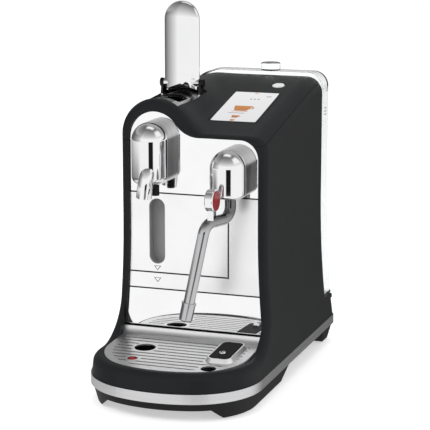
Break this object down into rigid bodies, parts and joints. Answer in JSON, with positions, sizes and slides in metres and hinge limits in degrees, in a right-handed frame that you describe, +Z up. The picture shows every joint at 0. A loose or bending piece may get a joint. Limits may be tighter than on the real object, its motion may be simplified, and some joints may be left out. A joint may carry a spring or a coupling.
{
  "type": "pod coffee machine",
  "caption": "Counter-top pod coffee machine with a mirror front, capsule lever, coffee spout, tilting steam wand, lift-out drip tray, capsule drawer and lift-off water tank.",
  "frame": {"origin": "on the counter, under the middle of the footprint", "axes": "+Z up, -Y out of the machine's front, +X to the right seen from the front"},
  "size_m": [0.197, 0.39, 0.433],
  "materials": {
    "black_shell": "satin black with a fine grain",
    "soft_rubber": "matt",
    "plain_steel": "plain",
    "brushed_band": "brushed along its length",
    "mirror_steel": "mirror polished sheet",
    "bright_chrome": "polished",
    "grey_plastic": "fine texture",
    "tray_plastic": "satin",
    "red_plastic": "gloss",
    "grille_steel": "pressed stainless sheet",
    "screen_glass": "flush cover glass",
    "clear_plastic": "clear moulded",
    "heater_metal": "as cast",
    "board_green": "laminate"
  },
  "bodies": {
    "machine": {"base": "black_shell", "foot_pads": "soft_rubber", "base_screws": "plain_steel", "trim_band": "brushed_band", "housing": "black_shell", "top_cover": "black_shell", "rear_panel": "black_shell", "cord_gland": "soft_rubber", "upper_panel": "mirror_steel", "frame_panel": "mirror_steel", "lower_panel": "mirror_steel", "coffee_head": "bright_chrome", "coffee_spout": "bright_chrome", "hot_water_nozzle": "bright_chrome", "steam_head": "bright_chrome", "wand_pin": "plain_steel", "sensor_pad": "tray_plastic", "pod_deck": "black_shell", "lever_pin": "plain_steel", "brew_chamber": "tray_plastic", "display_glass": "screen_glass", "display_module": "tray_plastic", "tank_socket": "grey_plastic", "inner_frame": "grey_plastic", "water_pump": "plain_steel", "pump_mounts": "soft_rubber", "steam_boiler": "heater_metal", "coffee_heater": "heater_metal", "control_board": "board_green", "inlet_hose": "soft_rubber", "pump_hose": "soft_rubber", "steam_pipe": "plain_steel"},
    "drawer": {"capsule_front": "mirror_steel", "capsule_bin": "grey_plastic"},
    "tray": {"drip_tray": "tray_plastic"},
    "grille": {"drip_grille": "grille_steel"},
    "float": {"level_float": "red_plastic"},
    "jug_sensor": {"sensor_button": "bright_chrome"},
    "lever": {"capsule_lever": "bright_chrome"},
    "piston": {"brew_piston": "tray_plastic", "piston_seal": "soft_rubber"},
    "wand": {"wand_pipe": "bright_chrome", "wand_tip": "bright_chrome", "wand_tab": "bright_chrome", "wand_cap": "red_plastic"},
    "power": {"power_button": "bright_chrome"},
    "tank": {"water_tank": "clear_plastic", "tank_valve": "grey_plastic"},
    "lid": {"tank_lid": "clear_plastic", "lid_knob": "clear_plastic"}
  },
  "joints": [
    {"name": "drawer_slide", "type": "slide", "parent": "machine", "child": "drawer", "axis": [0, -1, 0], "range_m": [0, 0.03]},
    {"name": "tray_lift", "type": "slide", "parent": "machine", "child": "tray", "axis": [0, 0, 1], "range_m": [0, 0.016]},
    {"name": "grille_lift", "type": "slide", "parent": "tray", "child": "grille", "axis": [0, 0, 1], "range_m": [0, 0.02]},
    {"name": "float_rise", "type": "slide", "parent": "tray", "child": "float", "axis": [0, 0, 1], "range_m": [0, 0.008]},
    {"name": "sensor_press", "type": "slide", "parent": "machine", "child": "jug_sensor", "axis": [0, 0, -1], "range_m": [0, 0.002], "stiffness_N_per_m": 400, "springref_m": -0.0005},
    {"name": "lever_swing", "type": "hinge", "parent": "machine", "child": "lever", "pos_m": [-0.0459, 0.029, 0.33785], "axis": [1, 0, 0], "range_deg": [0, 90]},
    {"name": "piston_slide", "type": "slide", "parent": "machine", "child": "piston", "axis": [0, -1, 0], "range_m": [0, 0.014]},
    {"name": "wand_tilt", "type": "hinge", "parent": "machine", "child": "wand", "pos_m": [0.052, -0.084, 0.2335], "axis": [-1, 0, 0], "range_deg": [0, 24]},
    {"name": "power_press", "type": "slide", "parent": "machine", "child": "power", "axis": [0, 0.2099, -0.9777], "range_m": [0, 0.0012], "stiffness_N_per_m": 600, "springref_m": -0.0006},
    {"name": "tank_lift", "type": "slide", "parent": "machine", "child": "tank", "axis": [0, 0, 1], "range_m": [0, 0.08]},
    {"name": "lid_lift", "type": "slide", "parent": "tank", "child": "lid", "axis": [0, 0, 1], "range_m": [0, 0.04]}
  ],
  "couplings": [
    {"joint": "piston_slide", "follows": "lever_swing", "m_per_rad": 0.0089}
  ]
}
